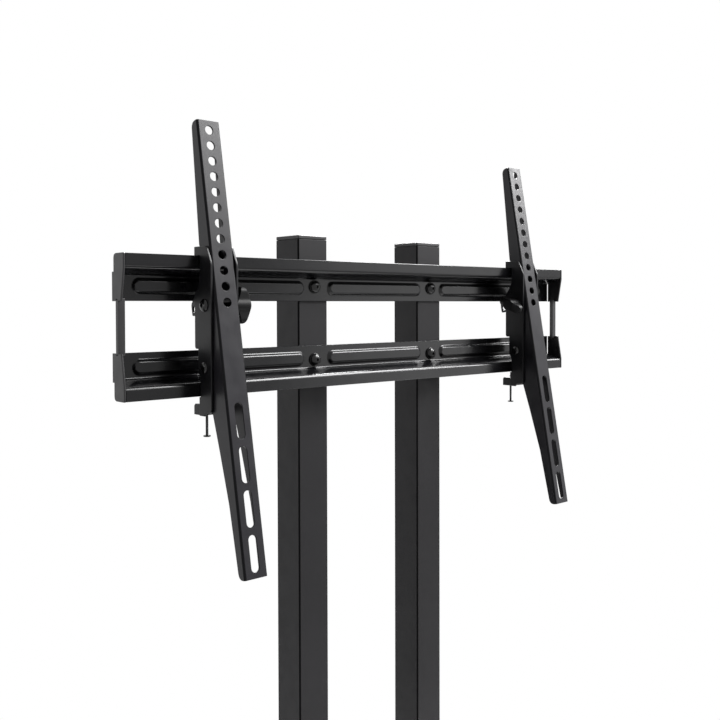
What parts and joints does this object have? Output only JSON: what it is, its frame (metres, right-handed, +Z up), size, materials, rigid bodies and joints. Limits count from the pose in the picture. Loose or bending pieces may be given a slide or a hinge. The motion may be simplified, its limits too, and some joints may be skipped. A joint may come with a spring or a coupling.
{
  "type": "tv_stand_with_mount",
  "caption": "Black steel floor stand for a flat screen: base plate, square posts, folded rails, and two hook-on arms that slide, tilt and clamp with a hand knob",
  "frame": {"origin": "on the floor under the middle of the base plate, level with the underside of the pads", "axes": "+Z up, the screen side faces -Y, +X to the right seen from the screen side"},
  "size_m": [0.7, 0.45, 1.3564],
  "materials": {
    "post_paint": "fine textured black powder coat",
    "rail_paint": "satin black powder coat",
    "arm_paint": "satin black powder coat",
    "black_fastener": "black oxide, smooth",
    "cap_plastic": "moulded matte black",
    "knob_plastic": "moulded black",
    "pad_rubber": "matte rubber"
  },
  "bodies": {
    "stand": {"base_plate": "post_paint", "pad_front_left": "pad_rubber", "pad_front_right": "pad_rubber", "pad_rear_left": "pad_rubber", "pad_rear_right": "pad_rubber", "foot_bolt_1": "black_fastener", "foot_bolt_2": "black_fastener", "foot_bolt_3": "black_fastener", "foot_bolt_4": "black_fastener", "foot_bolt_5": "black_fastener", "foot_bolt_6": "black_fastener", "foot_bolt_7": "black_fastener", "foot_bolt_8": "black_fastener", "left_post_foot": "post_paint", "left_post": "post_paint", "left_post_cap": "cap_plastic", "left_end_cap": "cap_plastic", "rail_bolt_upper_left": "black_fastener", "rail_bolt_lower_left": "black_fastener", "rail_nut_upper_left": "black_fastener", "rail_nut_lower_left": "black_fastener", "right_post_foot": "post_paint", "right_post": "post_paint", "right_post_cap": "cap_plastic", "right_end_cap": "cap_plastic", "rail_bolt_upper_right": "black_fastener", "rail_bolt_lower_right": "black_fastener", "rail_nut_upper_right": "black_fastener", "rail_nut_lower_right": "black_fastener", "upper_rail": "rail_paint", "lower_rail": "rail_paint"},
    "left_bracket": {"left_hook_bracket": "arm_paint", "left_lock_bar": "arm_paint", "left_pivot_rivet": "black_fastener", "left_tilt_bolt": "black_fastener", "left_knob_washer": "black_fastener"},
    "left_arm_body": {"left_arm": "arm_paint"},
    "left_knob_body": {"left_tilt_knob": "knob_plastic"},
    "left_screw_body": {"left_lock_screw": "black_fastener"},
    "right_bracket": {"right_hook_bracket": "arm_paint", "right_lock_bar": "arm_paint", "right_pivot_rivet": "black_fastener", "right_tilt_bolt": "black_fastener", "right_knob_washer": "black_fastener"},
    "right_arm_body": {"right_arm": "arm_paint"},
    "right_knob_body": {"right_tilt_knob": "knob_plastic"},
    "right_screw_body": {"right_lock_screw": "black_fastener"}
  },
  "joints": [
    {"name": "left_bracket_slide", "type": "slide", "parent": "stand", "child": "left_bracket", "axis": [1, 0, 0], "range_m": [-0.055, 0.15]},
    {"name": "left_arm_tilt", "type": "hinge", "parent": "left_bracket", "child": "left_arm_body", "pos_m": [-0.24132, 0.04545, 1.1111], "axis": [1, 0, 0], "range_deg": [0, 22]},
    {"name": "left_knob_turn", "type": "hinge", "parent": "left_bracket", "child": "left_knob_body", "pos_m": [-0.21532, 0.04445, 1.1721], "axis": [1, 0, 0], "continuous": true},
    {"name": "left_lock_screw_rise", "type": "slide", "parent": "left_bracket", "child": "left_screw_body", "axis": [0, 0, 1], "range_m": [0, 0.014]},
    {"name": "right_bracket_slide", "type": "slide", "parent": "stand", "child": "right_bracket", "axis": [1, 0, 0], "range_m": [-0.15, 0.055]},
    {"name": "right_arm_tilt", "type": "hinge", "parent": "right_bracket", "child": "right_arm_body", "pos_m": [0.24132, 0.04545, 1.1111], "axis": [1, 0, 0], "range_deg": [0, 22]},
    {"name": "right_knob_turn", "type": "hinge", "parent": "right_bracket", "child": "right_knob_body", "pos_m": [0.21532, 0.04445, 1.1721], "axis": [1, 0, 0], "continuous": true},
    {"name": "right_lock_screw_rise", "type": "slide", "parent": "right_bracket", "child": "right_screw_body", "axis": [0, 0, 1], "range_m": [0, 0.014]}
  ]
}
